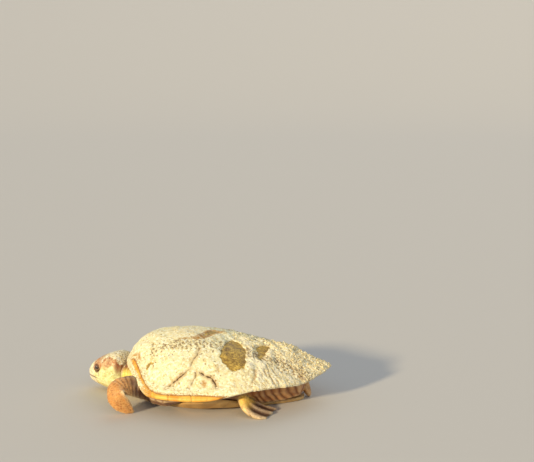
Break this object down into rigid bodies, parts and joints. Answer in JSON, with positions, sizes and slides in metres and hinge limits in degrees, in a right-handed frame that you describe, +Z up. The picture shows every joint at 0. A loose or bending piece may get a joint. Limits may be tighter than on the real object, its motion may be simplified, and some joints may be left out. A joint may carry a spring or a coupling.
{
  "type": "loggerhead sea turtle model",
  "caption": "Life-size still model of an adult loggerhead turtle crawling on its belly, its shell crusted with dry sand, head forward and one front flipper planted.",
  "frame": {"origin": "on the midline of the flat belly where it rests on the floor, below the middle of the shell", "axes": "+X points to the tail, so the head is at -X; -Y is the turtle's left side; +Z is up"},
  "size_m": [1.0993, 0.8598, 0.303],
  "materials": {
    "sandy_scute": "dry cream sand crusted over olive-brown horn, dull and grainy",
    "rim_horn": "bare orange-brown horn with a soft sheen, sand along its upper edge",
    "belly_horn": "pale yellow-tan horn, worn and dusty",
    "head_skin": "yellow cheeks and throat, rust-brown head scales with pale seams, sand on the crown",
    "body_skin": "wrinkled purple-brown skin, paler in the folds",
    "limb_skin": "orange-brown scales with paler edges",
    "beak_horn": "pale horn-yellow, faintly striated",
    "eye": "wet, almost black brown",
    "claw_horn": "dark horn"
  },
  "bodies": {
    "root": {"vertebral_scute_1": "sandy_scute", "vertebral_scute_2": "sandy_scute", "vertebral_scute_3": "sandy_scute", "vertebral_scute_4": "sandy_scute", "vertebral_scute_5": "sandy_scute", "costal_scute_left_1": "sandy_scute", "costal_scute_left_2": "sandy_scute", "costal_scute_left_3": "sandy_scute", "costal_scute_left_4": "sandy_scute", "costal_scute_left_5": "sandy_scute", "costal_scute_right_1": "sandy_scute", "costal_scute_right_2": "sandy_scute", "costal_scute_right_3": "sandy_scute", "costal_scute_right_4": "sandy_scute", "costal_scute_right_5": "sandy_scute", "nuchal_scute": "sandy_scute", "marginal_scutes_left": "rim_horn", "marginal_scutes_right": "rim_horn", "plastron": "belly_horn", "head": "head_skin", "lower_jaw": "head_skin", "neck": "head_skin", "trunk": "body_skin", "tail": "limb_skin", "upper_arm_left": "limb_skin", "front_flipper_left": "limb_skin", "thigh_left": "limb_skin", "hind_flipper_left": "limb_skin", "upper_arm_right": "limb_skin", "front_flipper_right": "limb_skin", "thigh_right": "limb_skin", "hind_flipper_right": "limb_skin", "upper_beak": "beak_horn", "lower_beak": "beak_horn", "eye_left": "eye", "eye_right": "eye", "front_claw_left": "claw_horn", "front_claw_right": "claw_horn", "hind_claw_left": "claw_horn", "hind_claw_right": "claw_horn"}
  },
  "joints": []
}
